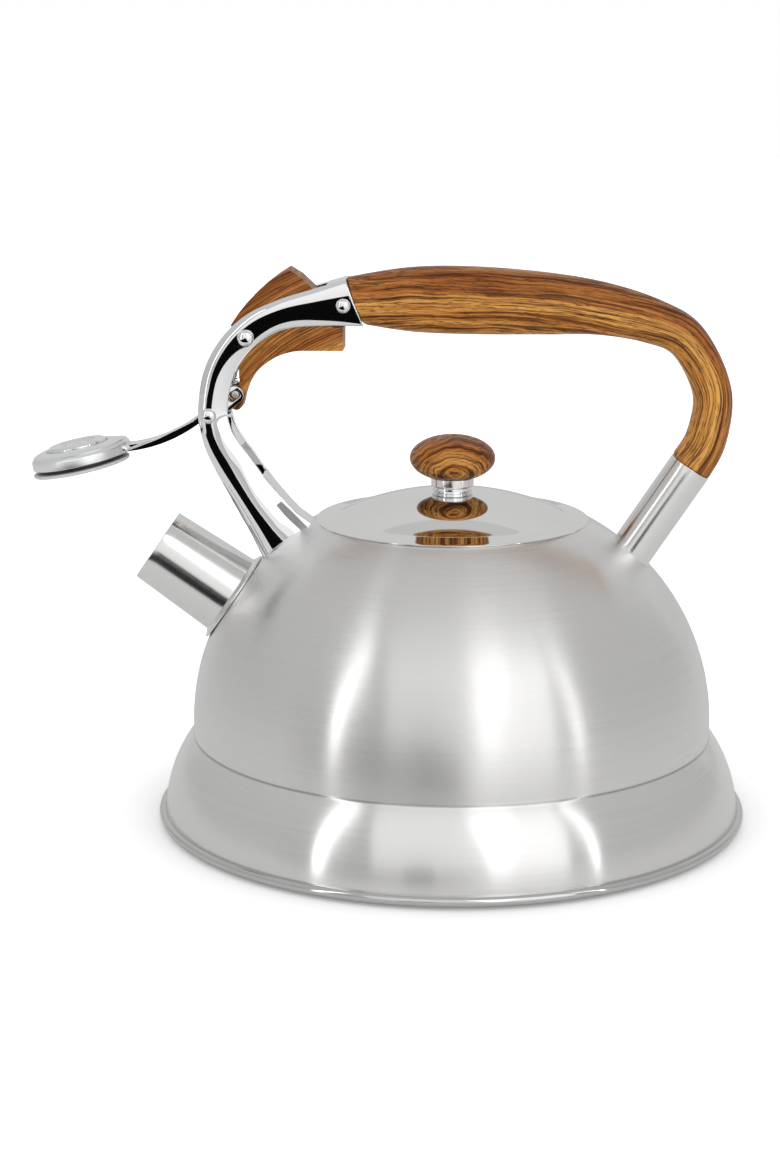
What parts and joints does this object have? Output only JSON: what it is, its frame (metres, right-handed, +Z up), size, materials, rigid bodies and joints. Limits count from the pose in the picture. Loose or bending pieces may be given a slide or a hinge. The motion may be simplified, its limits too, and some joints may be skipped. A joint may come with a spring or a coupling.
{
  "type": "stovetop whistling kettle",
  "caption": "Domed stovetop kettle with a fixed arched handle, a lift-off lid and a squeeze trigger that swings the whistle cap clear of the spout.",
  "frame": {"origin": "on the kettle's vertical axis, in the plane of the flat base it stands on", "axes": "+Z up; the spout points to -X and the handle lies in the XZ plane; +Y is across the kettle"},
  "size_m": [0.2666, 0.22, 0.2059],
  "materials": {
    "brushed_steel": "satin stainless steel brushed round the axis",
    "satin_steel": "fine satin stainless tube, brushed along its length",
    "chrome_trim": "mirror polished",
    "wood_look": "satin heat-resistant plastic with an olive-wood grain print",
    "aluminium_core": "plain",
    "plain_steel": "plain machined",
    "silicone": "matt silicone"
  },
  "bodies": {
    "kettle_body": {"body_shell": "brushed_steel", "base_pan": "brushed_steel", "heat_disc": "aluminium_core", "base_cap": "plain_steel", "spout_tube": "satin_steel", "spout_collar": "satin_steel", "front_bracket": "chrome_trim", "bracket_foot_block": "plain_steel", "bracket_screws": "plain_steel", "bracket_washers": "silicone", "rear_post": "satin_steel", "post_bolt": "plain_steel", "post_washer": "silicone", "grip": "wood_look", "grip_pin": "chrome_trim", "trigger_pin": "chrome_trim", "arm_pin": "chrome_trim", "spring_pin": "plain_steel", "return_spring": "plain_steel"},
    "trigger": {"trigger": "wood_look", "link_pin": "plain_steel"},
    "whistle": {"whistle_arm": "chrome_trim", "cap_rivet": "chrome_trim", "cap_cover": "chrome_trim", "whistle_disc": "chrome_trim", "whistle_plate": "plain_steel", "cap_seal": "silicone"},
    "lid": {"lid_shell": "chrome_trim", "lid_skirt": "brushed_steel", "knob_ring": "satin_steel", "knob_ferrule": "satin_steel", "lid_knob": "wood_look", "knob_screw": "plain_steel", "knob_washer": "silicone"}
  },
  "joints": [
    {"name": "trigger_swing", "type": "hinge", "parent": "kettle_body", "child": "trigger", "pos_m": [-0.0749, 0, 0.1803], "axis": [0, 1, 0], "range_deg": [0, 24], "deforming": ["return_spring"]},
    {"name": "whistle_swing", "type": "hinge", "parent": "kettle_body", "child": "whistle", "pos_m": [-0.08885, 0, 0.1516], "axis": [0, 1, 0], "range_deg": [-43.6, 0.1]},
    {"name": "lid_lift", "type": "slide", "parent": "kettle_body", "child": "lid", "axis": [0, 0, 1], "range_m": [0, 0.035]}
  ],
  "couplings": [
    {"joint": "whistle_swing", "follows": "trigger_swing", "ratio": -1.8125}
  ]
}
